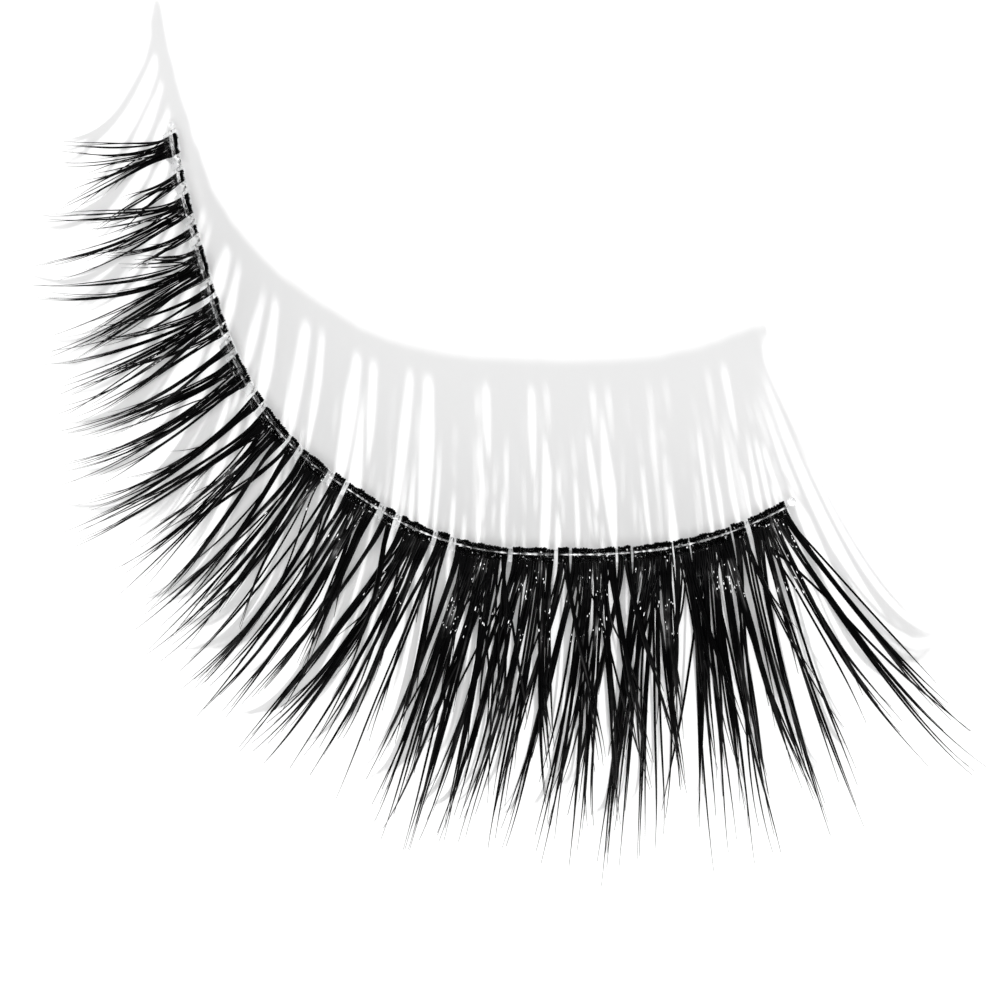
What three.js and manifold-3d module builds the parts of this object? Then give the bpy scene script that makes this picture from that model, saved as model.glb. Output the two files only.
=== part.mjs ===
// False eyelash strip lying on its curled hairs, in millimetres, with +Z up.
// The band is an arch in plan. The hairs leave it outwards, run down over one curled surface
// to the ground, and turn up again at their tips.
import * as THREE from "three";
import { mergeVertices } from "three/addons/utils/BufferGeometryUtils.js";
import Module from "manifold-3d";

const wasm = await Module();
wasm.setup();

// Driving sizes
const BAND_LENGTH = 33.0;
const BAND_HEIGHT = 3.0;
const BAND_WIDTH = 0.52;
const BAND_SETBACK = 0.01;
const THREAD_SETBACK = 0.12;
const BAND_THICKNESS = 0.08;
const THREAD_DIAMETER = 0.1;
const INNER_KNOT_DIAMETER = 0.26;
const OUTER_KNOT_DIAMETER = 0.36;
const CLEARANCE = 0.06;

const LONGEST_REACH = 12.4;
const INNER_CURL_RADIUS = 5.5;
const OUTER_CURL_RADIUS = 9.0;
const STUB_LENGTH = 0.38;
const SHEET_LENGTH = 0.85;
const SHEET_THICKNESS = 0.12;
const WIDE_LOCK_THICKNESS = 0.1;
const SIDE_LOCK_THICKNESS = 0.07;
const LOCK_TIP_THICKNESS = 0.04;
const LOCK_START = 0.3;

// How fast a lock takes up its lean, and how the fans twist so that locks cross clear of each other
const LEAN_DISTANCE = 0.8;
const TWIST_RISE = 0.24;
const TWIST_SPAN = 0.8;
const TWIST_SLOPE = 0.08;
const TWIST_LEAN = -7;
const TWIST_START = 0.1;
const TWIST_FULL = 0.9;

// How the band comes down beside a tuft
const DIP_MARGIN = 0.05;
const DIP_LENGTH = 0.14;

// Mesh steps
const ARCH_STEPS = 330;
const THREAD_STEPS = 56;
const THREAD_SIDES = 6;
const BAND_STEP = 1.1;
const KNOT_SIDES = 8;
const KNOT_RINGS = 6;
const COURSE_STEP = 0.05;
const LOCK_STATIONS = [0, 0.14, 0.34, 0.56, 0.79, 1.0];
const LOCK_WIDTHS = [0.9, 1.1, 1.15, 0.85, 0.5, 0];

// Course of the arch: share of its length, heading in degrees from +X, and share of its height
const ARCH = [
  { share: 0.0, heading: -82, height: 0.63 },
  { share: 0.1, heading: -76, height: 0.68 },
  { share: 0.2, heading: -74.5, height: 0.74 },
  { share: 0.3, heading: -66, height: 0.82 },
  { share: 0.38, heading: -53.5, height: 0.89 },
  { share: 0.46, heading: -37, height: 0.92 },
  { share: 0.54, heading: -34, height: 0.93 },
  { share: 0.62, heading: -18.5, height: 0.98 },
  { share: 0.7, heading: -2, height: 1.0 },
  { share: 0.78, heading: 1.5, height: 0.985 },
  { share: 0.86, heading: 10, height: 0.965 },
  { share: 0.93, heading: 21.5, height: 0.94 },
  { share: 1.0, heading: 30, height: 0.92 },
];
const CURL_FULL_SHARE = 0.6;

// Wide tufts: middle and width as shares of the band, then for each lock its lean in degrees
// from straight out, towards the outer end, and its reach as a share of the longest
const WIDE_TUFTS = [
  { at: 0.018, width: 0.026, lean: [-19, -13, -8, 3, 7, 13], reach: [0.35, 0.33, 0.35, 0.29, 0.34, 0.38] },
  { at: 0.093, width: 0.025, lean: [-15, -13, -7, 2, 5, 9], reach: [0.45, 0.46, 0.29, 0.47, 0.44, 0.41] },
  { at: 0.165, width: 0.039, lean: [-22, -13, -10, 8, 10, 13], reach: [0.24, 0.53, 0.52, 0.52, 0.54, 0.45] },
  { at: 0.226, width: 0.03, lean: [-8, -5, 4, 6, 10, 13], reach: [0.51, 0.53, 0.53, 0.55, 0.6, 0.53] },
  { at: 0.302, width: 0.036, lean: [-8, -5, 0, 3, 7], reach: [0.52, 0.49, 0.61, 0.65, 0.58] },
  { at: 0.378, width: 0.042, lean: [-7, -5, -1, 4, 9, 14], reach: [0.66, 0.68, 0.53, 0.63, 0.69, 0.66] },
  { at: 0.442, width: 0.036, lean: [-6, -3, -1, 0, 4], reach: [0.67, 0.7, 0.72, 0.73, 0.64] },
  { at: 0.509, width: 0.041, lean: [-5, -2, 0, 1, 4, 9], reach: [0.72, 0.78, 0.76, 0.73, 0.63, 0.5] },
  { at: 0.579, width: 0.038, lean: [-13, -9, -7, -4, 3], reach: [0.78, 0.75, 0.78, 0.77, 0.63] },
  { at: 0.655, width: 0.058, lean: [-12, -8, -6, -5, 0, 7], reach: [0.67, 0.82, 0.88, 0.93, 0.87, 0.71] },
  { at: 0.712, width: 0.044, lean: [-18, -15, -12, -9, 0], reach: [0.83, 0.82, 0.83, 0.86, 0.72] },
  { at: 0.778, width: 0.047, lean: [-16, -12, -9, -6, 2, 10], reach: [0.83, 0.86, 0.89, 0.9, 0.78, 0.67] },
  { at: 0.843, width: 0.041, lean: [-15, -12, -10, -7, -2], reach: [0.95, 0.89, 0.88, 0.84, 0.66] },
  { at: 0.908, width: 0.045, lean: [-14, -12, -10, -7, -1], reach: [0.93, 0.9, 0.93, 0.95, 0.8] },
  { at: 0.977, width: 0.044, lean: [-14, -8, -5, 3, 9, 12], reach: [0.9, 0.93, 0.93, 0.89, 1.0, 0.86] },
];

// Narrow tufts between them, in the same columns
const SIDE_TUFTS = [
  { at: 0.058, width: 0.014, lean: [-4, 12, 24], reach: [0.18, 0.28, 0.22] },
  { at: 0.125, width: 0.01, lean: [-8, 8], reach: [0.28, 0.2] },
  { at: 0.199, width: 0.01, lean: [-6, 8], reach: [0.37, 0.25] },
  { at: 0.25, width: 0.01, lean: [-10, 6], reach: [0.4, 0.45] },
  { at: 0.271, width: 0.01, lean: [4, 12], reach: [0.59, 0.33] },
  { at: 0.342, width: 0.013, lean: [-2, 2], reach: [0.58, 0.62] },
  { at: 0.41, width: 0.012, lean: [-13, 9], reach: [0.5, 0.53] },
  { at: 0.476, width: 0.013, lean: [-4, 1, 12], reach: [0.7, 0.73, 0.43] },
  { at: 0.545, width: 0.012, lean: [-9, 15], reach: [0.65, 0.48] },
  { at: 0.611, width: 0.013, lean: [-9, -3, 8], reach: [0.74, 0.82, 0.58] },
  { at: 0.745, width: 0.012, lean: [-16, 12], reach: [0.68, 0.58] },
  { at: 0.812, width: 0.012, lean: [-17, 11], reach: [0.72, 0.6] },
  { at: 0.875, width: 0.016, lean: [-14, -4, 8], reach: [0.73, 0.63, 0.6] },
  { at: 0.941, width: 0.014, lean: [-17, -8, 5], reach: [0.93, 0.83, 0.62] },
];

const HAIR = { color: 0x0b0b0c, roughness: 0.32, metalness: 0.0 };
const CLEAR = { color: 0xf2f4f5, roughness: 0.12, metalness: 0.0, transparent: true, opacity: 0.45 };

// Value of one column of the arch table at a share of the band's length
function archValue(share, column) {
  const last = ARCH.length - 1;
  const inside = THREE.MathUtils.clamp(share, 0, 1);
  const row = ARCH.findIndex((entry, index) => index === last - 1 || ARCH[index + 1].share >= inside);
  const from = ARCH[row];
  const to = ARCH[row + 1];
  const part = (inside - from.share) / (to.share - from.share);
  return THREE.MathUtils.lerp(from[column], to[column], part);
}

function headingAt(share) {
  const angle = THREE.MathUtils.degToRad(archValue(share, "heading"));
  return new THREE.Vector2(Math.cos(angle), Math.sin(angle));
}

function makeArch() {
  const points = [new THREE.Vector2(0, 0)];
  for (let step = 0; step < ARCH_STEPS; step += 1) {
    const move = headingAt((step + 0.5) / ARCH_STEPS).multiplyScalar(BAND_LENGTH / ARCH_STEPS);
    points.push(points[step].clone().add(move));
  }
  return points;
}

const ARCH_POINTS = makeArch();

// Plan place of the band at a share of its length, running straight on past both ends
function archPoint(share) {
  const inside = THREE.MathUtils.clamp(share, 0, 1);
  const step = Math.min(ARCH_STEPS - 1, Math.floor(inside * ARCH_STEPS));
  const point = ARCH_POINTS[step].clone();
  point.lerp(ARCH_POINTS[step + 1], inside * ARCH_STEPS - step);
  return point.add(headingAt(inside).multiplyScalar((share - inside) * BAND_LENGTH));
}

// Shape of the curl at a share of the band: its radius, and how far out it reaches the ground
function curlAt(share) {
  const growth = THREE.MathUtils.clamp(share / CURL_FULL_SHARE, 0, 1);
  const radius = THREE.MathUtils.lerp(INNER_CURL_RADIUS, OUTER_CURL_RADIUS, growth);
  const height = BAND_HEIGHT * archValue(share, "height");
  const descent = Math.acos(1 - height / radius);
  return { radius, height, descent, bottom: radius * Math.sin(descent) };
}

// Distance from the band in plan, the share where it is nearest, and the way straight out
function nearestOnBand(place) {
  let best = { distance: Infinity, share: 0, foot: ARCH_POINTS[0] };
  for (let step = 0; step < ARCH_STEPS; step += 1) {
    const start = ARCH_POINTS[step];
    const side = ARCH_POINTS[step + 1].clone().sub(start);
    const along = THREE.MathUtils.clamp(place.clone().sub(start).dot(side) / side.lengthSq(), 0, 1);
    const foot = start.clone().addScaledVector(side, along);
    const distance = foot.distanceTo(place);
    if (distance < best.distance) {
      best = { distance, share: (step + along) / ARCH_STEPS, foot };
    }
  }
  return best;
}

// Point of the curled surface over a place in plan, with the surface's normal
function surfaceAt(place) {
  const near = nearestOnBand(place);
  const curl = curlAt(near.share);
  const past = near.distance - curl.bottom;
  const rise = Math.sqrt(curl.radius ** 2 - past ** 2);
  const outward = place.clone().sub(near.foot).normalize();
  const slope = past / rise;
  const normal = new THREE.Vector3(-outward.x * slope, -outward.y * slope, 1).normalize();
  return { point: new THREE.Vector3(place.x, place.y, curl.radius - rise), normal, distance: near.distance };
}

// Directions at the band: along it, out along the hair, and square to the sheet of hair
function frameAt(share) {
  const heading = headingAt(share);
  const curl = curlAt(share);
  const step = 1 / ARCH_STEPS;
  const climb = curlAt(share + step).height - curlAt(share - step).height;
  const along = new THREE.Vector3(heading.x, heading.y, climb / (2 * step * BAND_LENGTH)).normalize();
  const fall = -Math.sin(curl.descent);
  const level = Math.cos(curl.descent);
  const hair = new THREE.Vector3(heading.y * level, -heading.x * level, fall);
  hair.addScaledVector(along, -hair.dot(along)).normalize();
  const square = new THREE.Vector3().crossVectors(hair, along);
  const plan = archPoint(share);
  return { origin: new THREE.Vector3(plan.x, plan.y, curl.height), along, hair, square, heading };
}

function placeInFrame(frame, along, out, up) {
  const point = frame.origin.clone();
  point.addScaledVector(frame.along, along);
  point.addScaledVector(frame.hair, out);
  return point.addScaledVector(frame.square, up);
}

// Closed geometry through rings of equal size; a last ring of one point makes a pointed end
function loft(rings) {
  const positions = rings.flat().flatMap((point) => [point.x, point.y, point.z]);
  const sides = rings[0].length;
  const faces = [];
  for (let ring = 0; ring + 1 < rings.length; ring += 1) {
    const lower = ring * sides;
    const upper = lower + sides;
    for (let side = 0; side < sides; side += 1) {
      const next = (side + 1) % sides;
      if (rings[ring + 1].length === 1) {
        faces.push(lower + side, lower + next, upper);
      } else {
        faces.push(lower + side, lower + next, upper + next, lower + side, upper + next, upper + side);
      }
    }
  }
  for (let side = 1; side + 1 < sides; side += 1) {
    faces.push(0, side + 1, side);
    if (rings.at(-1).length > 1) {
      const last = (rings.length - 1) * sides;
      faces.push(last, last + side, last + side + 1);
    }
  }
  const geometry = new THREE.BufferGeometry();
  geometry.setAttribute("position", new THREE.Float32BufferAttribute(positions, 3));
  geometry.setIndex(faces);
  return geometry;
}

function toSolid(geometry) {
  const vertProperties = new Float32Array(geometry.attributes.position.array);
  const triVerts = new Uint32Array(geometry.index.array);
  return new wasm.Manifold(new wasm.Mesh({ numProp: 3, vertProperties, triVerts }));
}

function toGeometry(solid) {
  const mesh = solid.getMesh();
  const geometry = new THREE.BufferGeometry();
  geometry.setAttribute("position", new THREE.Float32BufferAttribute(mesh.vertProperties, 3));
  geometry.setIndex(new THREE.Uint32BufferAttribute(mesh.triVerts, 1));
  return geometry;
}

function makeMesh(name, geometry, look) {
  geometry.computeVertexNormals();
  const mesh = new THREE.Mesh(geometry, new THREE.MeshStandardMaterial(look));
  mesh.name = name;
  return mesh;
}

// Flat sheet of hair roots, from the cut stubs behind the thread to where the locks part
function rootSheet(tuft) {
  const frame = frameAt(tuft.at);
  const halfWidth = tuft.width * BAND_LENGTH / 2;
  const halfThickness = SHEET_THICKNESS / 2;
  const corners = [[-1, -1], [1, -1], [1, 1], [-1, 1]];
  return loft([-STUB_LENGTH, SHEET_LENGTH].map((out) => corners.map(
    ([side, face]) => placeInFrame(frame, side * halfWidth, out, face * halfThickness),
  )));
}

// How far a lock stands off the curled surface, from its sideways distance to the tuft's middle line
function twistAt(sideways, distance) {
  const ramp = THREE.MathUtils.smoothstep(distance, TWIST_START, TWIST_FULL);
  const aside = sideways - distance * Math.sin(THREE.MathUtils.degToRad(TWIST_LEAN));
  return ramp * (TWIST_RISE * Math.tanh(aside / TWIST_SPAN) + TWIST_SLOPE * aside);
}

// One lock: it starts inside the root sheet, takes up its lean and tapers to a point
function lockOf(tuft, index, thickness) {
  const count = tuft.lean.length;
  const width = tuft.width * BAND_LENGTH;
  const heading = headingAt(tuft.at);
  const outward = new THREE.Vector2(heading.y, -heading.x);
  const middle = archPoint(tuft.at);
  const root = middle.clone().addScaledVector(heading, width * ((index + 0.5) / count - 0.5));
  const lean = THREE.MathUtils.degToRad(tuft.lean[index]);
  const reach = LONGEST_REACH * tuft.reach[index];

  function planAt(distance) {
    const turned = lean * (1 - Math.exp(-distance / LEAN_DISTANCE));
    const place = root.clone().addScaledVector(outward, distance * Math.cos(turned));
    return place.addScaledVector(heading, distance * Math.sin(turned));
  }

  const rings = LOCK_STATIONS.map((station, row) => {
    const distance = THREE.MathUtils.lerp(LOCK_START, reach, station);
    const place = planAt(distance);
    const surface = surfaceAt(place);
    const sideways = place.clone().sub(middle).dot(heading);
    const centre = surface.point.addScaledVector(surface.normal, twistAt(sideways, surface.distance));
    if (LOCK_WIDTHS[row] === 0) {
      return [centre];
    }
    const course = planAt(distance + COURSE_STEP).sub(planAt(distance - COURSE_STEP));
    const across = new THREE.Vector3(course.x, course.y, 0).cross(surface.normal).normalize();
    const halfWidth = LOCK_WIDTHS[row] * width / count / 2;
    const halfThickness = THREE.MathUtils.lerp(thickness, LOCK_TIP_THICKNESS, station) / 2;
    return [[-1, -1], [-1, 1], [1, 1], [1, -1]].map(([side, face]) => centre.clone()
      .addScaledVector(across, side * halfWidth)
      .addScaledVector(surface.normal, face * halfThickness));
  });
  return loft(rings);
}

function makeTuft(name, tuft, thickness) {
  let solid = toSolid(rootSheet(tuft));
  for (let index = 0; index < tuft.lean.length; index += 1) {
    solid = solid.add(toSolid(lockOf(tuft, index, thickness)));
  }
  return makeMesh(name, toGeometry(solid), HAIR);
}

// Round thread under the sheets of hair, along the whole arch
function makeThread() {
  const radius = THREAD_DIAMETER / 2;
  const middle = -SHEET_THICKNESS / 2 - CLEARANCE - radius;
  const rings = [];
  for (let step = 0; step <= THREAD_STEPS; step += 1) {
    const frame = frameAt(step / THREAD_STEPS);
    rings.push(Array.from({ length: THREAD_SIDES }, (_, side) => {
      const angle = 2 * Math.PI * (side + 0.5) / THREAD_SIDES;
      return placeInFrame(
        frame, 0, -THREAD_SETBACK - radius * Math.cos(angle), middle + radius * Math.sin(angle),
      );
    }));
  }
  return makeMesh("core_thread", loft(rings), CLEAR);
}

const ALL_TUFTS = [...WIDE_TUFTS, ...SIDE_TUFTS].sort((first, second) => first.at - second.at);

// Height of the band's middle over the sheets: over each tuft, and down to the thread between them
function bandLift(share) {
  const over = SHEET_THICKNESS / 2 + CLEARANCE + BAND_THICKNESS / 2;
  const down = -SHEET_THICKNESS / 2 + BAND_THICKNESS / 2;
  const gaps = ALL_TUFTS.map((tuft) => (Math.abs(share - tuft.at) - tuft.width / 2) * BAND_LENGTH);
  const beside = Math.min(...gaps) - DIP_MARGIN;
  return THREE.MathUtils.lerp(over, down, THREE.MathUtils.smoothstep(beside, 0, DIP_LENGTH));
}

// Shares of the arch where the band bends: beside each tuft's edges, and between in long runs
function bandShares() {
  const edges = [0, 1];
  for (const tuft of ALL_TUFTS) {
    for (const beside of [DIP_MARGIN, DIP_MARGIN + DIP_LENGTH]) {
      edges.push(tuft.at - tuft.width / 2 - beside / BAND_LENGTH);
      edges.push(tuft.at + tuft.width / 2 + beside / BAND_LENGTH);
    }
  }
  const inside = edges.filter((share) => share >= 0 && share <= 1).sort((first, second) => first - second);
  const shares = [0];
  for (const share of inside) {
    const gap = (share - shares.at(-1)) * BAND_LENGTH;
    if (gap < DIP_MARGIN / 2) {
      continue;
    }
    const between = Math.floor(gap / BAND_STEP);
    for (let part = between; part >= 0; part -= 1) {
      shares.push(share - (gap / BAND_LENGTH) * part / (between + 1));
    }
  }
  return shares;
}

// Frame of the band: pulled straight over each flat sheet, and along the arch between them
function bandFrame(share) {
  const straight = (tuft) => tuft.width * BAND_LENGTH / 2 + DIP_MARGIN + DIP_LENGTH / 2;
  const under = ALL_TUFTS.find((tuft) => Math.abs(share - tuft.at) * BAND_LENGTH < straight(tuft));
  if (!under) {
    return { frame: frameAt(share), along: 0 };
  }
  return { frame: frameAt(under.at), along: (share - under.at) * BAND_LENGTH };
}

// Flat clear band over the sheets of hair
function makeBand() {
  const corners = [[-1, -1], [-1, 1], [1, 1], [1, -1]];
  const rings = bandShares().map((share) => {
    const { frame, along } = bandFrame(share);
    const lift = bandLift(share);
    return corners.map(([side, face]) => placeInFrame(
      frame, along, side * BAND_WIDTH / 2 - BAND_SETBACK, lift + face * BAND_THICKNESS / 2,
    ));
  });
  return makeMesh("band_strip", loft(rings), CLEAR);
}

// Clear bead past one end of the band and the thread
function makeKnot(name, end, diameter) {
  const frame = frameAt(end);
  const past = (diameter / 2 + CLEARANCE) * (end === 0 ? -1 : 1);
  const sphere = new THREE.SphereGeometry(diameter / 2, KNOT_SIDES, KNOT_RINGS);
  sphere.deleteAttribute("normal");
  sphere.deleteAttribute("uv");
  const knot = makeMesh(name, mergeVertices(sphere), CLEAR);
  knot.position.copy(placeInFrame(frame, past, -THREAD_SETBACK, 0));
  return knot;
}

function numbered(word, index) {
  return `${word}_${String(index + 1).padStart(2, "0")}`;
}

const strip = new THREE.Group();
strip.add(makeBand());
strip.add(makeThread());
strip.add(makeKnot("end_knot_inner", 0, INNER_KNOT_DIAMETER));
strip.add(makeKnot("end_knot_outer", 1, OUTER_KNOT_DIAMETER));
WIDE_TUFTS.forEach((tuft, index) => {
  strip.add(makeTuft(numbered("tuft", index), tuft, WIDE_LOCK_THICKNESS));
});
SIDE_TUFTS.forEach((tuft, index) => {
  strip.add(makeTuft(numbered("side_tuft", index), tuft, SIDE_LOCK_THICKNESS));
});

// The origin is in the middle of the footprint, on the ground that the curls rest on
strip.updateMatrixWorld(true);
const box = new THREE.Box3().setFromObject(strip, true);
const centre = box.getCenter(new THREE.Vector3());
strip.position.set(-centre.x, -centre.y, -box.min.z);

export default strip;
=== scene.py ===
import math

import bpy
import numpy as np
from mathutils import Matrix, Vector


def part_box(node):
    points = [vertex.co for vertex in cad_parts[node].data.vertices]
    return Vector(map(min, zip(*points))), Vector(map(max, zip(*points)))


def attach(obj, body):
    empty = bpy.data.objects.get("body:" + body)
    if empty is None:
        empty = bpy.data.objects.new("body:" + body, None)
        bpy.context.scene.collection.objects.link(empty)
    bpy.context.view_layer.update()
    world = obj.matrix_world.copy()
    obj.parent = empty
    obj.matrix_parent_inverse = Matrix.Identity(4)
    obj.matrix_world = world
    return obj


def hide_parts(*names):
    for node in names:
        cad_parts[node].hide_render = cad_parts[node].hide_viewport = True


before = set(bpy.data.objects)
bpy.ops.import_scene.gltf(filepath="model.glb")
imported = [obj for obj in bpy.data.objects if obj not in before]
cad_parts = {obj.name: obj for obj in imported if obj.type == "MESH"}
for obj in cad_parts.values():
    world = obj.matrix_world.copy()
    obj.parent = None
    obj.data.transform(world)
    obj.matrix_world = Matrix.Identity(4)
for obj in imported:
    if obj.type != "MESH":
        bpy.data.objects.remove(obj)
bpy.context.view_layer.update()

# Lengths below are in millimetres and become metres as each mesh is made
MM = 0.001
SEED = 7

# View: the photograph looks down at the strip from the front, with a long lens
VIEW_ELEVATION = 70.0
VIEW_DISTANCE = 500.0
VIEW_WIDTH = 36.36
VIEW_AIM = (12.06, -13.52)
SENSOR_WIDTH = 36.0

# The arch and the curl, as in the solid model
BAND_LENGTH = 33.0
BAND_HEIGHT = 3.0
BAND_WIDTH = 0.52
BAND_SETBACK = 0.01
THREAD_SETBACK = 0.12
BAND_THICKNESS = 0.08
THREAD_DIAMETER = 0.1
INNER_KNOT_DIAMETER = 0.26
OUTER_KNOT_DIAMETER = 0.36
CLEARANCE = 0.06
LONGEST_REACH = 12.4
INNER_CURL_RADIUS = 5.5
OUTER_CURL_RADIUS = 9.0
CURL_FULL_SHARE = 0.6
STUB_LENGTH = 0.38
ROOT_START = 0.06
SHEET_THICKNESS = 0.12
LEAN_DISTANCE = 0.8
TWIST_RISE = 0.24
TWIST_SPAN = 0.8
TWIST_SLOPE = 0.08
TWIST_LEAN = -7.0
TWIST_START = 0.1
TWIST_FULL = 0.9
DIP_MARGIN = 0.05
DIP_LENGTH = 0.14
ARCH_STEPS = 330

# Course of the arch: share of its length, heading in degrees, share of its height
ARCH = np.array([
    (0.0, -82, 0.63),
    (0.1, -76, 0.68),
    (0.2, -74.5, 0.74),
    (0.3, -66, 0.82),
    (0.38, -53.5, 0.89),
    (0.46, -37, 0.92),
    (0.54, -34, 0.93),
    (0.62, -18.5, 0.98),
    (0.7, -2, 1.0),
    (0.78, 1.5, 0.985),
    (0.86, 10, 0.965),
    (0.93, 21.5, 0.94),
    (1.0, 30, 0.92),
])

# Tufts: middle and width as shares of the band, then for each lock its lean in degrees from
# straight out, and its reach as a share of the longest. Fullness, where given, thins the hairs
WIDE_TUFTS = [
    dict(at=0.018, width=0.026, lean=[-19, -13, -8, 3, 7, 13], reach=[0.35, 0.33, 0.35, 0.29, 0.34, 0.38]),
    dict(at=0.093, width=0.025, lean=[-15, -13, -7, 2, 5, 9], reach=[0.45, 0.46, 0.29, 0.47, 0.44, 0.41]),
    dict(at=0.165, width=0.039, lean=[-22, -13, -10, 8, 10, 13], reach=[0.24, 0.53, 0.52, 0.52, 0.54, 0.45]),
    dict(at=0.226, width=0.03, lean=[-8, -5, 4, 6, 10, 13], reach=[0.51, 0.53, 0.53, 0.55, 0.6, 0.53]),
    dict(at=0.302, width=0.036, lean=[-8, -5, 0, 3, 7], reach=[0.52, 0.49, 0.61, 0.65, 0.58]),
    dict(at=0.378, width=0.042, lean=[-7, -5, -1, 4, 9, 14], reach=[0.66, 0.68, 0.53, 0.63, 0.69, 0.66]),
    dict(at=0.442, width=0.036, lean=[-6, -3, -1, 0, 4], reach=[0.67, 0.7, 0.72, 0.73, 0.64]),
    dict(at=0.509, width=0.041, lean=[-5, -2, 0, 1, 4, 9], reach=[0.72, 0.78, 0.76, 0.73, 0.63, 0.5]),
    dict(at=0.579, width=0.038, lean=[-13, -9, -7, -4, 3], reach=[0.78, 0.75, 0.78, 0.77, 0.63]),
    dict(at=0.655, width=0.058, lean=[-12, -8, -6, -5, 0, 7], reach=[0.67, 0.82, 0.88, 0.93, 0.87, 0.71]),
    dict(at=0.712, width=0.044, lean=[-18, -15, -12, -9, 0], reach=[0.83, 0.82, 0.83, 0.86, 0.72]),
    dict(at=0.778, width=0.047, lean=[-16, -12, -9, -6, 2, 10], reach=[0.83, 0.86, 0.89, 0.9, 0.78, 0.67]),
    dict(at=0.843, width=0.041, lean=[-15, -12, -10, -7, -2], reach=[0.95, 0.89, 0.88, 0.84, 0.66]),
    dict(at=0.908, width=0.045, lean=[-14, -12, -10, -7, -1], reach=[0.93, 0.9, 0.93, 0.95, 0.8]),
    dict(at=0.977, width=0.044, lean=[-14, -8, -5, 3, 9, 12], reach=[0.9, 0.93, 0.93, 0.89, 1.0, 0.86],
         fullness=0.85),
]
SIDE_TUFTS = [
    dict(at=0.058, width=0.014, lean=[-4, 12, 24], reach=[0.18, 0.28, 0.22]),
    dict(at=0.125, width=0.01, lean=[-8, 8], reach=[0.28, 0.2]),
    dict(at=0.199, width=0.01, lean=[-6, 8], reach=[0.37, 0.25]),
    dict(at=0.25, width=0.01, lean=[-10, 6], reach=[0.4, 0.45]),
    dict(at=0.271, width=0.01, lean=[4, 12], reach=[0.59, 0.33]),
    dict(at=0.342, width=0.013, lean=[-2, 2], reach=[0.58, 0.62]),
    dict(at=0.41, width=0.012, lean=[-13, 9], reach=[0.5, 0.53]),
    dict(at=0.476, width=0.013, lean=[-4, 1, 12], reach=[0.7, 0.73, 0.43]),
    dict(at=0.545, width=0.012, lean=[-9, 15], reach=[0.65, 0.48]),
    dict(at=0.611, width=0.013, lean=[-9, -3, 8], reach=[0.74, 0.82, 0.58]),
    dict(at=0.745, width=0.012, lean=[-16, 12], reach=[0.68, 0.58]),
    dict(at=0.812, width=0.012, lean=[-17, 11], reach=[0.72, 0.6]),
    dict(at=0.875, width=0.016, lean=[-14, -4, 8], reach=[0.73, 0.63, 0.6]),
    dict(at=0.941, width=0.014, lean=[-17, -8, 5], reach=[0.93, 0.83, 0.62]),
]

# Hairs: where the inner end's own look fades out, and where thickness and taper change, both as
# shares of the band
INNER_LOOK = (0.1, 0.35)
THICKNESS_CHANGE = (0.2, 0.6)
INNER_HAIRS_PER_MM = 39
OUTER_HAIRS_PER_MM = 30
LEAST_HAIRS_PER_LOCK = 4
INNER_HAIR_RADIUS = 0.025
OUTER_HAIR_RADIUS = 0.042
INNER_TIP_SHARE = 0.1
OUTER_TIP_SHARE = 0.18
INNER_TAPER_START = 0.5
OUTER_TAPER_START = 0.62
HAIR_SIDES = 6
HAIR_STATIONS = 26
LAYER_GAP = 0.034
SECOND_BUNCH_SHARE = 0.3
CROSSING_SHARE = 0.16
SHORT_SHARE = 0.16
STRAY_SHARE = 0.05
STRAY_LEAN = 7
REACH_SPREAD = 0.42
STUB_WAVE_HAIRS = 7

# Gathering: how wide the hairs of a bunch still lie, against the share of the way to their tips.
# At the inner end this way is longer by the delay
GATHER_WAY = [0, 0.06, 0.15, 0.3, 0.55, 0.8, 1]
GATHER_WIDTH = [1, 0.95, 0.68, 0.46, 0.34, 0.24, 0.2]
INNER_GATHER_DELAY = 3.2

# Dried glue: clusters on one wide tuft at two places along the band, the beads, painted white as glints, and
# the coat, painted grey as sheen
CLUSTER_PLACES = [0.35, 0.6]
CLUSTER_COUNTS = [1, 6]
CLUSTER_START = 0.7
CLUSTER_REACH = 3.6
CLUSTER_RADIUS = 0.17
FEWEST_BEADS = 3
MOST_BEADS = 12
BEAD_RADIUS = 0.018
BEAD_SIDES = 7
BEAD_RINGS = 6
COAT_SHEEN_WIDTH = 0.15
COAT_SHEEN_LENGTH = 0.38

# Clear pieces: the film with its ridge of glue, the thread's two plies and the knots
BAND_STEPS = 640
FILM_HALF_THICKNESS = 0.014
RIDGE_PLACE = -0.12
RIDGE_ANGLES = [165, 125, 90, 55, 15]
RIDGE_LUMPS = 330
BACK_RIM_WAVES = 150
FRONT_RIM_WAVES = 90
THREAD_STEPS = 900
PLY_SIDES = 6
PLY_TURN_LENGTH = 0.32
KNOT_SIDES = 20
KNOT_RINGS = 14

# Lights: the way towards the light, its strength, its size in degrees, and whether it glints
LIGHTS = [
    dict(name="key", towards=(0.27, -2.43, 1.0), energy=4.4, angle=2.0, glints=True),
    dict(name="fill", towards=(0, -0.36, 1.0), energy=1.7, angle=14.0, glints=False),
]
SKY_HEIGHTS = (0.55, 0.9)
SKY_STRENGTHS = (0.68, 0.2)
FLOOR_HALF_WIDTH = 1500.0


def smoothstep(value, low, high):
    t = np.clip((value - low) / (high - low), 0, 1)
    return t * t * (3 - 2 * t)


def heading_at(share):
    angle = np.radians(np.interp(share, ARCH[:, 0], ARCH[:, 1]))
    return np.stack([np.cos(angle), np.sin(angle)], axis=-1)


def make_arch():
    middles = (np.arange(ARCH_STEPS) + 0.5) / ARCH_STEPS
    moves = heading_at(middles) * BAND_LENGTH / ARCH_STEPS
    return np.vstack([np.zeros((1, 2)), np.cumsum(moves, axis=0)])


ARCH_POINTS = make_arch()


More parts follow.
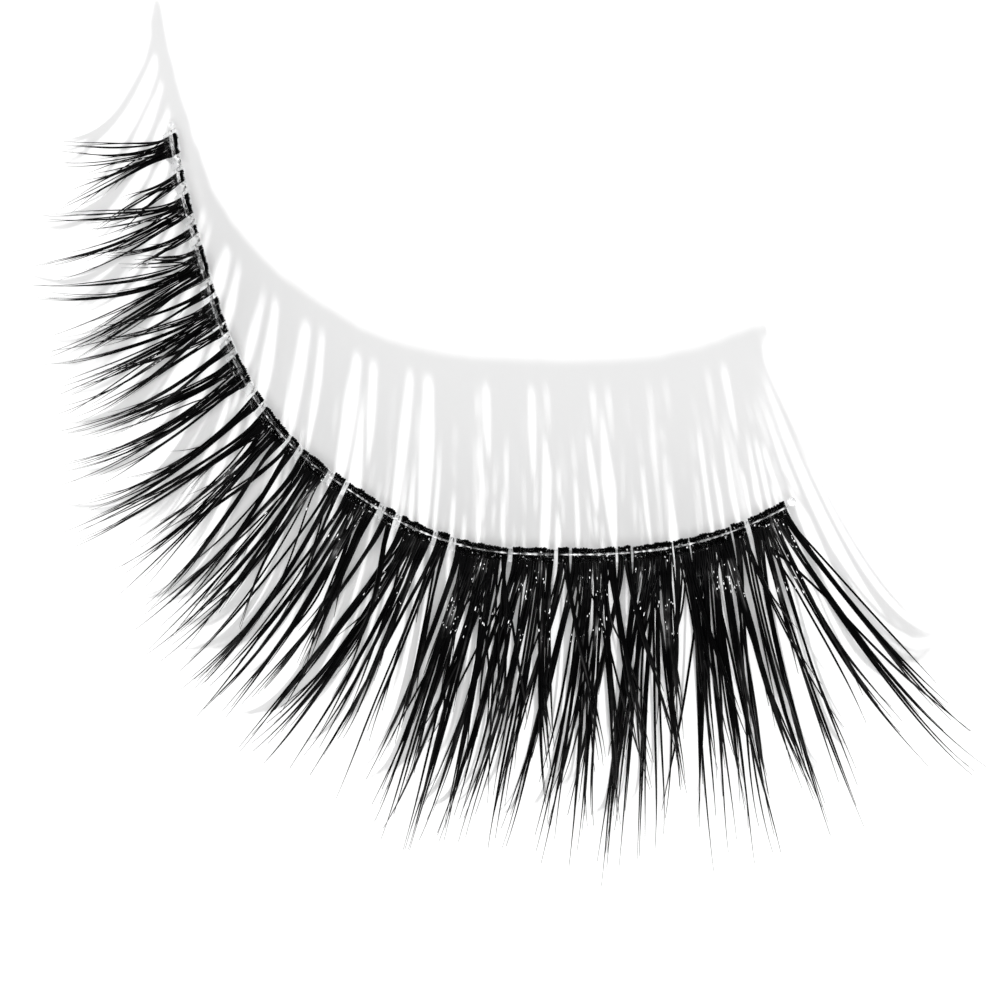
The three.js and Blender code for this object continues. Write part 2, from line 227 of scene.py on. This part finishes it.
def arch_point(share):
    """Plan place of the band at a share of its length, running straight on past both ends."""
    inside = np.clip(share, 0, 1)
    steps = np.linspace(0, 1, ARCH_STEPS + 1)
    x = np.interp(inside, steps, ARCH_POINTS[:, 0])
    y = np.interp(inside, steps, ARCH_POINTS[:, 1])
    past = np.expand_dims(np.asarray(share - inside) * BAND_LENGTH, -1)
    return np.stack([x, y], axis=-1) + heading_at(inside) * past


def curl_at(share):
    """Radius, height and descent of the curl at a share of the band."""
    growth = np.clip(share / CURL_FULL_SHARE, 0, 1)
    radius = INNER_CURL_RADIUS + (OUTER_CURL_RADIUS - INNER_CURL_RADIUS) * growth
    height = BAND_HEIGHT * np.interp(share, ARCH[:, 0], ARCH[:, 2])
    return radius, height, np.arccos(1 - height / radius)


def surface_at(places):
    """Points of the curled surface over places in plan, their normals and their distance out."""
    starts = ARCH_POINTS[:-1]
    sides = np.diff(ARCH_POINTS, axis=0)
    away = places[:, None, :] - starts[None]
    along = np.clip((away * sides).sum(-1) / (sides ** 2).sum(-1), 0, 1)
    feet = starts + along[..., None] * sides
    distances = np.linalg.norm(places[:, None, :] - feet, axis=-1)
    best = distances.argmin(axis=1)
    rows = np.arange(len(places))
    distance = distances[rows, best]
    share = (best + along[rows, best]) / ARCH_STEPS
    outward = places - feet[rows, best]
    outward /= np.maximum(distance, 1e-6)[:, None]
    radius, _, descent = curl_at(share)
    past = distance - radius * np.sin(descent)
    rise = np.sqrt(radius ** 2 - past ** 2)
    slope = past / rise
    normal = np.column_stack([-outward * slope[:, None], np.ones(len(places))])
    normal /= np.linalg.norm(normal, axis=1)[:, None]
    return np.column_stack([places, radius - rise]), normal, distance


def frame_at(share):
    """Origin and directions at the band: along it, out along the hair, square to the hair."""
    heading = heading_at(share)
    _, height, descent = curl_at(share)
    step = 1 / ARCH_STEPS
    climb = (curl_at(share + step)[1] - curl_at(share - step)[1]) / (2 * step * BAND_LENGTH)
    along = np.array([heading[0], heading[1], climb])
    along /= np.linalg.norm(along)
    level = math.cos(descent)
    hair = np.array([heading[1] * level, -heading[0] * level, -math.sin(descent)])
    hair -= hair.dot(along) * along
    hair /= np.linalg.norm(hair)
    origin = np.append(arch_point(share), height)
    return origin, along, hair, np.cross(hair, along)


def knot_middle(end, diameter):
    """Middle of the knot past the band's inner end, 0, or its outer end, 1."""
    origin, along, hair, _ = frame_at(float(end))
    past = (diameter / 2 + CLEARANCE) * (1 if end else -1)
    return origin + along * past - hair * THREAD_SETBACK


def model_shift():
    """Where the arch's own origin lies in the row frame, read from the inner knot's solid."""
    low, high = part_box("end_knot_inner")
    return np.array((low + high) / 2) / MM - knot_middle(0, INNER_KNOT_DIAMETER)


SHIFT = model_shift()


def tube_rows(paths, normals, radii, sides):
    """Vertices of round tubes: paths and normals are (tube, station, 3), radii (tube, station)."""
    tangents = np.gradient(paths, axis=1)
    tangents /= np.linalg.norm(tangents, axis=2)[..., None]
    across = np.cross(tangents, normals)
    across /= np.linalg.norm(across, axis=2)[..., None]
    up = np.cross(across, tangents)
    angle = 2 * np.pi * np.arange(sides) / sides
    ring = across[:, :, None] * np.cos(angle)[:, None] + up[:, :, None] * np.sin(angle)[:, None]
    return paths[:, :, None] + ring * radii[:, :, None, None]


def tube_faces(tubes, stations, sides):
    """Quads round each tube and a cap at both of its ends."""
    faces = []
    for tube in range(tubes):
        base = tube * stations * sides
        for station in range(stations - 1):
            low = base + station * sides
            high = low + sides
            for side in range(sides):
                following = (side + 1) % sides
                faces.append((low + side, low + following, high + following, high + side))
        faces.append(tuple(base + side for side in reversed(range(sides))))
        last = base + (stations - 1) * sides
        faces.append(tuple(last + side for side in range(sides)))
    return faces


def add_mesh(name, vertices, faces, material, share):
    """New object in the row frame from vertices in the arch's millimetres.

    The material reads the share of each vertex, 0 to 2: the shine of a hair, which the hair material also
    paints as greyer colour, a painted sheen, or how thick a clear piece is there and how white, a painted
    highlight.
    """
    mesh = bpy.data.meshes.new(name)
    places = (np.asarray(vertices).reshape(-1, 3) + SHIFT) * MM
    mesh.from_pydata(places.tolist(), [], faces)
    mesh.polygons.foreach_set("use_smooth", [True] * len(mesh.polygons))
    layer = mesh.attributes.new("share", "FLOAT", "POINT")
    layer.data.foreach_set("value", share.ravel())
    mesh.update()
    mesh.materials.append(material)
    piece = bpy.data.objects.new(name, mesh)
    bpy.context.scene.collection.objects.link(piece)
    return piece


def dress(piece, node):
    """The piece stands for a node, which is hidden, and rides on the one body."""
    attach(piece, "root")
    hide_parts(node)


def bunches_of(tuft, per_lock, random):
    """Each lock of a tuft as one or two bunches of hair that come to a point of their own."""
    locks = len(tuft["lean"])
    count = locks * per_lock
    lock = np.repeat(np.arange(locks), per_lock)
    second = np.tile(np.arange(per_lock), locks) > 0
    centre = (lock + 0.5 + random.uniform(-0.25, 0.25, count)) / locks
    lean = np.array(tuft["lean"], float)[lock]
    lean = lean + random.normal(0, 1, count) * np.where(second, 2.2, 0.5)
    second_reach = random.uniform(0.7, 0.95, count)
    main_reach = random.uniform(0.98, 1.02, count)
    reach = LONGEST_REACH * np.array(tuft["reach"])[lock] * np.where(second, second_reach, main_reach)
    return dict(
        centre=centre,
        lean=lean,
        reach=reach,
        turn=LEAN_DISTANCE * random.uniform(0.7, 1.5, count),
        bow=random.normal(0, 0.1, count),
        hook=random.normal(0, 0.12, count),
        layer=random.uniform(-1, 1, count),
    )


def hair_courses(tuft, per_lock, random):
    """For each hair of a tuft: its place across the root and the bunch it joins."""
    locks = len(tuft["lean"])
    outer = smoothstep(tuft["at"], *INNER_LOOK)
    per_mm = INNER_HAIRS_PER_MM + (OUTER_HAIRS_PER_MM - INNER_HAIRS_PER_MM) * outer
    full_count = round(tuft["width"] * BAND_LENGTH * per_mm * tuft.get("fullness", 1))
    count = max(LEAST_HAIRS_PER_LOCK * locks, full_count)
    across = (np.arange(count) + 0.5 + random.uniform(-0.4, 0.4, count)) / count
    lock = np.floor(across * locks + random.normal(0, 0.25, count))
    lock = np.clip(lock, 0, locks - 1).astype(int)
    bunch = lock * per_lock + (random.random(count) < SECOND_BUNCH_SHARE) * (per_lock - 1)
    crossing = random.random(count) < CROSSING_SHARE
    bunch = np.where(crossing, random.integers(0, locks * per_lock, count), bunch)
    layer = np.resize([-1, 1, 0], count) + random.uniform(-0.3, 0.3, count)
    return across, bunch, layer


def hair_paths(tuft, per_lock, random):
    """Centre lines, normals and radii of a tuft's hairs, with how far along each station lies."""
    across, bunch, layer = hair_courses(tuft, per_lock, random)
    bunches = {name: values[bunch] for name, values in bunches_of(tuft, per_lock, random).items()}
    count = len(across)
    width = tuft["width"] * BAND_LENGTH
    at = tuft["at"]
    _, _, hair, _ = frame_at(at)
    heading = heading_at(at)
    outward = np.array([heading[1], -heading[0]])

    leading = np.isin(np.arange(count), np.unique(bunch, return_index=True)[1])
    shorter = np.where(leading, 0, random.random(count)) ** 1.2
    reach = bunches["reach"] * (1 - REACH_SPREAD * shorter)
    short = ~leading & (random.random(count) < SHORT_SHARE)
    reach *= np.where(short, random.uniform(0.4, 0.8, count), 1)
    stray = ~leading & (random.random(count) < STRAY_SHARE)
    lean = bunches["lean"] + random.normal(0, 0.5, count)
    lean = lean + np.where(stray, random.normal(0, STRAY_LEAN, count), 0)

    t = np.broadcast_to(np.linspace(0, 1, HAIR_STATIONS - 2) ** 1.1, (count, HAIR_STATIONS - 2))
    distance = ROOT_START + t * (reach[:, None] - ROOT_START)
    turned = np.radians(lean)[:, None] * (1 - np.exp(-distance / bunches["turn"][:, None]))
    delay = INNER_GATHER_DELAY * (1 - smoothstep(at, *INNER_LOOK))
    gather = np.interp(distance / (reach[:, None] + delay), GATHER_WAY, GATHER_WIDTH)
    gather = np.where(stray[:, None], 1, gather)
    own = (across - bunches["centre"])[:, None]
    fan = random.normal(0, 0.1, count)[:, None] * smoothstep(t, 0.5, 1)
    bow = (bunches["bow"] + random.normal(0, 0.02, count))[:, None] * np.sin(np.pi * t)
    bow += (bunches["hook"] + random.normal(0, 0.06, count))[:, None] * t ** 5
    sideways = width * (bunches["centre"][:, None] - 0.5 + own * gather)
    sideways = sideways + distance * np.sin(turned) + fan + bow
    out = distance * np.cos(turned)
    places = arch_point(at) + sideways[..., None] * heading + out[..., None] * outward

    points, normals, away = surface_at(places.reshape(-1, 2))
    away = away.reshape(t.shape)
    points = points.reshape(count, -1, 3)
    normals = normals.reshape(count, -1, 3)
    aside = sideways - away * math.sin(math.radians(TWIST_LEAN))
    ramp = smoothstep(away, TWIST_START, TWIST_FULL)
    lift = ramp * (TWIST_RISE * np.tanh(aside / TWIST_SPAN) + TWIST_SLOPE * aside)
    lift += LAYER_GAP * (layer[:, None] * (1 - 0.4 * t) + 1.4 * bunches["layer"][:, None] * ramp)
    points = points + normals * lift[..., None]

    even = np.ones(STUB_WAVE_HAIRS) / STUB_WAVE_HAIRS
    waves = np.convolve(random.uniform(-1, 1, count), even, mode="same")
    stub = STUB_LENGTH * (0.97 + 0.32 * waves)
    back = np.stack([-stub, -0.45 * stub], axis=1)
    points = np.concatenate([points[:, :1] + back[..., None] * hair, points], axis=1)
    normals = np.concatenate([np.repeat(normals[:, :1], 2, axis=1), normals], axis=1)

    outer = smoothstep(at, *THICKNESS_CHANGE)
    tip_share = INNER_TIP_SHARE + (OUTER_TIP_SHARE - INNER_TIP_SHARE) * outer
    taper_start = INNER_TAPER_START + (OUTER_TAPER_START - INNER_TAPER_START) * outer
    taper = 1 - (1 - tip_share) * smoothstep(t, taper_start, 1.02)
    size = INNER_HAIR_RADIUS + (OUTER_HAIR_RADIUS - INNER_HAIR_RADIUS) * outer
    thickness = size * random.uniform(0.8, 1.15, count)[:, None]
    radii = thickness * np.concatenate([np.ones((count, 2)), taper], axis=1)
    points[..., 2] = np.maximum(points[..., 2], radii * 1.02 - SHIFT[2])
    return points, normals, radii, np.concatenate([np.zeros((count, 2)), t], axis=1)


def glue_spots(points, clusters, random):
    """Hair and station of the middle of each cluster of glue."""
    spots = []
    for _ in range(clusters):
        hair = random.integers(len(points))
        along = np.linalg.norm(points[hair] - points[hair, 0], axis=1)
        station = 1 + np.abs(along[1:-1] - random.uniform(CLUSTER_START, CLUSTER_REACH)).argmin()
        spots.append((hair, station))
    return spots


def glue_coat_and_sheen_on(points, spots, random):
    """How thickly each hair is coated with glue, which the hair material also paints grey as a painted
    sheen: most near a spot, and along the hair there.
    """
    coat_and_sheen = np.zeros(points.shape[:2])
    for hair, station in spots:
        course = points[hair, station + 1] - points[hair, station - 1]
        course /= np.linalg.norm(course)
        away = points - points[hair, station]
        along = away @ course
        across = np.sqrt(np.maximum((away ** 2).sum(-1) - along ** 2, 0))
        near = np.exp(-(along / COAT_SHEEN_LENGTH) ** 2 - (across / COAT_SHEEN_WIDTH) ** 2)
        coat_and_sheen += near * 1.1 * random.random((len(points), 1)) ** 4
    return np.minimum(coat_and_sheen, 1)


def bead(middle, radius, sides, rings, random, pull=(0, 0, 0)):
    """Rings of an uneven bead, from pole to pole, drawn out along the pull."""
    bumps = random.normal(0, 1, (5, 3))
    polar = np.linspace(0.02, math.pi - 0.02, rings)[::-1, None]
    turn = (np.arange(sides) * 2 * math.pi / sides)[None]
    way = np.stack([np.sin(polar) * np.cos(turn), np.sin(polar) * np.sin(turn),
                    np.cos(polar) + 0 * turn], axis=-1)
    swell = 1 - 0.16 * np.abs(np.sin(way @ bumps.T)).mean(axis=-1)
    shape = way * swell[..., None] * radius
    return middle + shape + (shape @ np.array(pull))[..., None] * np.array(pull)


def beads_at(spots, points, normals, radii, random):
    """Small drawn-out beads of glue on the hairs round each spot."""
    beads = []
    for hair, station in spots:
        for _ in range(random.integers(FEWEST_BEADS, MOST_BEADS + 1)):
            aim = points[hair, station] + random.normal(0, CLUSTER_RADIUS, 3)
            away = np.linalg.norm(points[:, 2:-2] - aim, axis=2)
            row, column = np.unravel_index(away.argmin(), away.shape)
            column += 2
            course = points[row, column + 1] - points[row, column - 1]
            course /= np.linalg.norm(course)
            slide = course * random.uniform(-0.15, 0.15)
            place = points[row, column] + slide + normals[row, column] * radii[row, column]
            size = BEAD_RADIUS * random.uniform(0.5, 1.3)
            pull = course * random.uniform(0.4, 2.0)
            beads.append(bead(place, size, BEAD_SIDES, BEAD_RINGS, random, pull))
    return beads


def add_tuft(node, tuft, per_lock, clusters, material, random):
    """The hairs of one tuft, coated with glue in spots, and the beads of glue in those spots."""
    points, normals, radii, t = hair_paths(tuft, per_lock, random)
    vertices = tube_rows(points, normals, radii, HAIR_SIDES)
    faces = tube_faces(len(points), points.shape[1], HAIR_SIDES)
    spots = glue_spots(points, clusters, random)
    # Shine: gloss of each hair, more towards its tip; the hair material also paints it as greyer colour, a
    # painted sheen
    shine = (0.2 + 0.8 * random.random((len(points), 1)) ** 2) * smoothstep(t, 0.3, 1)
    # Glue coats raise the shine to its top, which is painted as grey sheen
    shine = np.maximum(shine, 2 * glue_coat_and_sheen_on(points, spots, random))
    piece = add_mesh(f"{node}_hairs", vertices, faces, material, np.repeat(shine, HAIR_SIDES, axis=1))
    dress(piece, node)
    return beads_at(spots, points, normals, radii, random)


def new_material(name):
    material = bpy.data.materials.new(name)
    material.use_nodes = True
    return material, material.node_tree.nodes, material.node_tree.links


def noise(nodes, links, scale, detail):
    place = nodes.new("ShaderNodeTexCoord")
    grain = nodes.new("ShaderNodeTexNoise")
    grain.inputs["Scale"].default_value = scale
    grain.inputs["Detail"].default_value = detail
    links.new(place.outputs["Object"], grain.inputs["Vector"])
    return grain.outputs["Fac"]


def spread(nodes, links, source, limits, result):
    """Map a value's limits smoothly onto the result's."""
    step = nodes.new("ShaderNodeMapRange")
    step.inputs["From Min"].default_value = limits[0]
    step.inputs["From Max"].default_value = limits[1]
    step.inputs["To Min"].default_value = result[0]
    step.inputs["To Max"].default_value = result[1]
    links.new(source, step.inputs["Value"])
    return step.outputs["Result"]


def roughen(nodes, links, shader, source, strength):
    bump = nodes.new("ShaderNodeBump")
    bump.inputs["Strength"].default_value = strength
    bump.inputs["Distance"].default_value = 0.00002
    links.new(source, bump.inputs["Height"])
    links.new(bump.outputs["Normal"], shader.inputs["Normal"])


def hair_material():
    """Black at the roots; some hairs glossier towards their tips and painted greyer there, a painted sheen;
    glue coats painted grey, also a painted sheen.
    """
    material, nodes, links = new_material("lash_hair")
    shader = nodes["Principled BSDF"]
    grain = noise(nodes, links, 2600.0, 3.0)
    shine = nodes.new("ShaderNodeAttribute")
    shine.attribute_name = "share"
    light = nodes.new("ShaderNodeMath")
    light.operation = "MULTIPLY"
    links.new(spread(nodes, links, grain, (0.35, 0.65), (0.3, 1.3)), light.inputs[0])
    links.new(spread(nodes, links, shine.outputs["Fac"], (0.0, 2.0), (0.0, 0.85)), light.inputs[1])
    # The ramp runs from the hair's own black to grey: the grey is a painted sheen, set by the shine
    black_to_painted_sheen = nodes.new("ShaderNodeValToRGB")
    black_to_painted_sheen.color_ramp.elements[0].position = 0.03
    black_to_painted_sheen.color_ramp.elements[0].color = (0.0008, 0.0008, 0.0009, 1)
    black_to_painted_sheen.color_ramp.elements[1].position = 1.0
    black_to_painted_sheen.color_ramp.elements[1].color = (0.26, 0.26, 0.265, 1)
    middle = black_to_painted_sheen.color_ramp.elements.new(0.45)
    middle.color = (0.026, 0.0255, 0.0255, 1)
    links.new(light.outputs["Value"], black_to_painted_sheen.inputs["Fac"])
    links.new(black_to_painted_sheen.outputs["Color"], shader.inputs["Base Color"])
    links.new(spread(nodes, links, grain, (0.3, 0.7), (0.2, 0.45)), shader.inputs["Roughness"])
    specular = spread(nodes, links, shine.outputs["Fac"], (0.0, 2.0), (0.025, 0.7))
    links.new(specular, shader.inputs["Specular IOR Level"])
    roughen(nodes, links, shader, grain, 0.35)
    return material


def clear_material():
    """Clear plastic: nearly unseen as a film, whiter where it is thick, the white a painted highlight, and
    with white specks painted as glints.
    """
    material, nodes, links = new_material("clear_thread")
    shader = nodes["Principled BSDF"]
    shader.inputs["Base Color"].default_value = (0.95, 0.955, 0.96, 1)
    grain = noise(nodes, links, 9000.0, 2.0)
    thickness_and_glint = nodes.new("ShaderNodeAttribute")
    thickness_and_glint.attribute_name = "share"
    clear = nodes.new("ShaderNodeMath")
    clear.operation = "MULTIPLY"
    # Specks of the grain let less light through, so the white base shows: painted glints
    links.new(spread(nodes, links, grain, (0.67, 0.76), (1.0, 0.3)), clear.inputs[0])
    links.new(spread(nodes, links, thickness_and_glint.outputs["Fac"], (0.0, 2.0), (1.0, 0.2)), clear.inputs[1])
    links.new(clear.outputs["Value"], shader.inputs["Transmission Weight"])
    links.new(spread(nodes, links, thickness_and_glint.outputs["Fac"], (0.0, 1.0), (1.08, 1.46)), shader.inputs["IOR"])
    links.new(spread(nodes, links, thickness_and_glint.outputs["Fac"], (0.0, 2.0), (0.85, 1.0)), shader.inputs["Alpha"])
    links.new(spread(nodes, links, grain, (0.3, 0.7), (0.04, 0.2)), shader.inputs["Roughness"])
    roughen(nodes, links, shader, grain, 0.25)
    return material


def band_lift(share):
    """Height of the film's middle over the hair roots' middle; it dips beside each tuft."""
    over = SHEET_THICKNESS / 2 + CLEARANCE + BAND_THICKNESS / 2
    down = -SHEET_THICKNESS / 2 + BAND_THICKNESS / 2
    beside = min((abs(share - tuft["at"]) - tuft["width"] / 2) * BAND_LENGTH
                 for tuft in WIDE_TUFTS + SIDE_TUFTS) - DIP_MARGIN
    return over + (down - over) * smoothstep(beside, 0, DIP_LENGTH)


def waver(share, values):
    """Values drawn at even places along the band, read off at each share."""
    return np.interp(share, np.linspace(0, 1, len(values)), values)


def add_band(material, random):
    """Clear film over the roots, with a thin uneven ridge of glue along it, white in lumps as a painted
    highlight.
    """
    half = BAND_WIDTH / 2
    film = FILM_HALF_THICKNESS
    ridge = RIDGE_PLACE
    share = np.linspace(0, 1, BAND_STEPS)
    back = waver(share, random.normal(0, 0.012, BACK_RIM_WAVES))
    front = waver(share, random.normal(0, 0.014, FRONT_RIM_WAVES))
    size = waver(share, 0.015 + 0.045 * random.random(RIDGE_LUMPS) ** 1.5)
    # Whiteness of the ridge, in lumps along the band: a painted highlight
    white = waver(share, 0.05 + 1.4 * random.random(RIDGE_LUMPS) ** 2)
    turns = np.radians(RIDGE_ANGLES)
    rows = []
    rims = []
    for value, behind, ahead, radius, thickness_and_glint in zip(share, back, front, size, white):
        origin, _, hair, square = frame_at(value)
        profile = [(-half + behind, -film), (-half + behind, film), (ridge - 1.1 * radius, film)]
        profile += [(ridge + radius * math.cos(a), film + 0.6 * radius * math.sin(a)) for a in turns]
        profile += [(ridge + 1.1 * radius, film), (half + ahead, film), (half + ahead, -film)]
        centre = origin - hair * BAND_SETBACK + square * band_lift(value)
        rows.append([centre + hair * out + square * up for out, up in profile])
        rims.append([0, 0, 0] + [thickness_and_glint] * len(turns) + [0, 0, 0])
    faces = tube_faces(1, BAND_STEPS, len(rows[0]))
    piece = add_mesh("band_strip_clear", rows, faces, material, np.array(rims, float))
    dress(piece, "band_strip")


def add_thread(material):
    """Two-ply twisted thread under the roots."""
    share = np.linspace(0, 1, THREAD_STEPS)
    frames = [frame_at(value) for value in share]
    middle = -SHEET_THICKNESS / 2 - CLEARANCE - THREAD_DIAMETER / 2
    strand = THREAD_DIAMETER / 4
    paths = []
    normals = []
    for phase in (0, math.pi):
        angle = 2 * np.pi * share * BAND_LENGTH / PLY_TURN_LENGTH + phase
        paths.append([origin + square * (middle + strand * math.sin(a))
                      + hair * (strand * math.cos(a) - THREAD_SETBACK)
                      for (origin, _, hair, square), a in zip(frames, angle)])
        normals.append([square for _, _, _, square in frames])
    radii = np.full((2, THREAD_STEPS), strand)
    vertices = tube_rows(np.array(paths), np.array(normals), radii, PLY_SIDES)
    faces = tube_faces(2, THREAD_STEPS, PLY_SIDES)
    white = np.full((2, THREAD_STEPS * PLY_SIDES), 0.15)
    piece = add_mesh("core_thread_plies", vertices, faces, material, white)
    dress(piece, "core_thread")


def add_knot(node, end, diameter, material, random):
    """Uneven clear bead at one end of the band."""
    rings = bead(knot_middle(end, diameter), diameter / 2, KNOT_SIDES, KNOT_RINGS, random)
    faces = tube_faces(1, KNOT_RINGS, KNOT_SIDES)
    # Half white: a painted highlight on the knot
    white = np.full((KNOT_RINGS, KNOT_SIDES), 0.5)
    piece = add_mesh(f"{node}_bead", rings, faces, material, white)
    dress(piece, node)


def add_glue(beads, material):
    """All the beads of dried glue, as one piece of their own, painted white as glints."""
    faces = tube_faces(len(beads), BEAD_RINGS, BEAD_SIDES)
    # Top whiteness: painted glints on the beads
    white = np.full((len(beads), BEAD_RINGS * BEAD_SIDES), 2.0)
    piece = add_mesh("glue_beads_painted_glints", np.array(beads), faces, material, white)
    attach(piece, "root")


def add_floor():
    mesh = bpy.data.meshes.new("floor")
    half = FLOOR_HALF_WIDTH * MM
    mesh.from_pydata([(-half, -half, 0), (half, -half, 0), (half, half, 0), (-half, half, 0)],
                     [], [(0, 1, 2, 3)])
    floor = bpy.data.objects.new("floor", mesh)
    bpy.context.scene.collection.objects.link(floor)
    material, nodes, _ = new_material("floor")
    shader = nodes["Principled BSDF"]
    shader.inputs["Base Color"].default_value = (0.9, 0.9, 0.9, 1)
    shader.inputs["Roughness"].default_value = 0.9
    shader.inputs["Specular IOR Level"].default_value = 0.1
    mesh.materials.append(material)


def add_world():
    """White surroundings, darker straight above, so that the black hair stays black."""
    world = bpy.data.worlds.new("studio")
    bpy.context.scene.world = world
    world.use_nodes = True
    nodes = world.node_tree.nodes
    links = world.node_tree.links
    background = nodes["Background"]
    place = nodes.new("ShaderNodeTexCoord")
    split = nodes.new("ShaderNodeSeparateXYZ")
    fade = nodes.new("ShaderNodeMapRange")
    fade.interpolation_type = "SMOOTHSTEP"
    fade.inputs["From Min"].default_value = SKY_HEIGHTS[0]
    fade.inputs["From Max"].default_value = SKY_HEIGHTS[1]
    fade.inputs["To Min"].default_value = SKY_STRENGTHS[0]
    fade.inputs["To Max"].default_value = SKY_STRENGTHS[1]
    links.new(place.outputs["Generated"], split.inputs["Vector"])
    links.new(split.outputs["Z"], fade.inputs["Value"])
    links.new(fade.outputs["Result"], background.inputs["Strength"])
    background.inputs["Color"].default_value = (1, 1, 1, 1)


def add_lights():
    """Low front key that throws the faint shadow up the picture, and a soft fill from above."""
    for sun in LIGHTS:
        data = bpy.data.lights.new(sun["name"], "SUN")
        data.energy = sun["energy"]
        data.angle = math.radians(sun["angle"])
        light = bpy.data.objects.new(sun["name"], data)
        light.rotation_euler = Vector(sun["towards"]).to_track_quat("Z", "Y").to_euler()
        light.visible_glossy = sun["glints"]
        bpy.context.scene.collection.objects.link(light)


def add_camera():
    data = bpy.data.cameras.new("camera")
    data.sensor_width = SENSOR_WIDTH
    data.lens = SENSOR_WIDTH * VIEW_DISTANCE / VIEW_WIDTH
    data.clip_start = 0.01
    data.clip_end = 10
    camera = bpy.data.objects.new("camera", data)
    angle = math.radians(VIEW_ELEVATION)
    away = Vector((0, -math.cos(angle), math.sin(angle)))
    aim = Vector((VIEW_AIM[0] + SHIFT[0], VIEW_AIM[1] + SHIFT[1], 0))
    camera.location = (aim + away * VIEW_DISTANCE) * MM
    camera.rotation_euler = away.to_track_quat("Z", "Y").to_euler()
    bpy.context.scene.collection.objects.link(camera)
    bpy.context.scene.camera = camera


add_camera()
add_floor()
add_world()
add_lights()
bpy.context.scene.view_settings.view_transform = "Standard"

HAIR = hair_material()
CLEAR = clear_material()
draws = np.random.default_rng(SEED)
glue = []
for index, row in enumerate(WIDE_TUFTS):
    clusters = round(np.interp(row["at"], CLUSTER_PLACES, CLUSTER_COUNTS))
    glue += add_tuft(f"tuft_{index + 1:02d}", row, 2, clusters, HAIR, draws)
for index, row in enumerate(SIDE_TUFTS):
    add_tuft(f"side_tuft_{index + 1:02d}", row, 1, 0, HAIR, draws)
add_band(CLEAR, draws)
add_thread(CLEAR)
add_knot("end_knot_inner", 0, INNER_KNOT_DIAMETER, CLEAR, draws)
add_knot("end_knot_outer", 1, OUTER_KNOT_DIAMETER, CLEAR, draws)
add_glue(glue, CLEAR)
